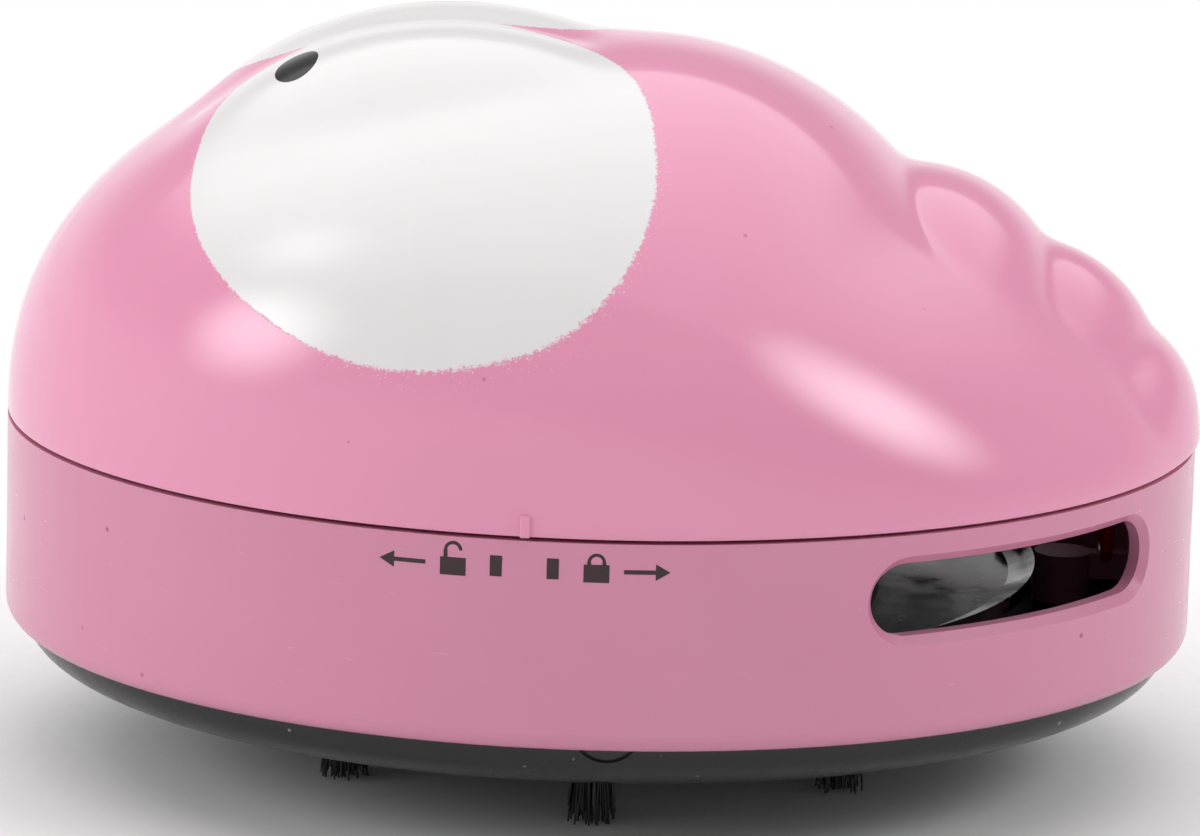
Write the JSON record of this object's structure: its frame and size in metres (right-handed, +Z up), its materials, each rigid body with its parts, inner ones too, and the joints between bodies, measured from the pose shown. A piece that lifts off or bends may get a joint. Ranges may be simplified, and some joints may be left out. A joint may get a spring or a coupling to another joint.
{
  "type": "desktop mini vacuum cleaner",
  "caption": "Palm-sized bug-shaped desk vacuum: pink domed cover with raised eyes and tail ridges on a slotted ring, with a black brush plate below.",
  "frame": {"origin": "on the table surface, under the middle of the oval body", "axes": "+X along the long axis from the head to the tail, +Z up"},
  "size_m": [0.11, 0.095, 0.0688],
  "materials": {
    "ring_pink": "moulded ABS, soft gloss",
    "dome_pink": "moulded ABS, high gloss, eyes sprayed white",
    "plate_black": "moulded ABS, satin gloss",
    "tray_black": "moulded ABS, gloss",
    "chassis_black": "moulded ABS",
    "bristle_nylon": "nylon bristle",
    "screw_steel": "zinc plated",
    "filter_plastic": "moulded polypropylene",
    "filter_cloth": "non-woven filter cloth",
    "motor_steel": "drawn and nickel plated",
    "cap_plastic": "moulded nylon",
    "bush_bronze": "sintered bronze",
    "magnet_ferrite": "ferrite",
    "contact_steel": "nickel plated",
    "clamp_steel": "zinc plated sheet",
    "cell_jacket": "printed shrink sleeve without marks",
    "switch_plastic": "moulded",
    "lead_red": "PVC insulation",
    "lead_black": "PVC insulation",
    "fan_plastic": "moulded",
    "shaft_steel": "ground",
    "rotor_steel": "laminated",
    "coil_copper": "enamelled copper wire",
    "knob_black": "moulded"
  },
  "bodies": {
    "base": {"base_ring": "ring_pink", "bottom_plate": "plate_black", "brush_tufts": "bristle_nylon", "base_screws": "screw_steel", "dust_tray": "tray_black"},
    "filter": {"filter_frame": "filter_plastic", "filter_cloth": "filter_cloth"},
    "cover": {"dome_shell": "dome_pink", "chassis": "chassis_black", "chassis_screws": "screw_steel", "fan_shroud": "chassis_black", "motor_can": "motor_steel", "motor_end_cap": "cap_plastic", "motor_bushes": "bush_bronze", "motor_magnets": "magnet_ferrite", "motor_terminals": "contact_steel", "motor_clamp": "clamp_steel", "clamp_screws": "screw_steel", "battery_cells": "cell_jacket", "battery_springs": "contact_steel", "battery_contacts": "contact_steel", "battery_link": "contact_steel", "switch_body": "switch_plastic", "lead_red": "lead_red", "lead_switch": "lead_red", "lead_black": "lead_black"},
    "fan": {"impeller": "fan_plastic", "motor_shaft": "shaft_steel", "motor_rotor": "rotor_steel", "rotor_coils": "coil_copper"},
    "knob": {"switch_knob": "knob_black"}
  },
  "joints": [
    {"name": "cover_lift", "type": "slide", "parent": "base", "child": "filter", "axis": [0, 0, 1], "range_m": [0, 0.032]},
    {"name": "cover_turn", "type": "hinge", "parent": "filter", "child": "cover", "pos_m": [0, 0, 0.0317], "axis": [0, 0, 1], "range_deg": [-3.2, 2]},
    {"name": "fan_spin", "type": "hinge", "parent": "cover", "child": "fan", "pos_m": [0, 0, 0.025], "axis": [0, 0, 1], "continuous": true},
    {"name": "switch_slide", "type": "slide", "parent": "cover", "child": "knob", "axis": [1, 0, 0], "range_m": [0, 0.002]}
  ]
}
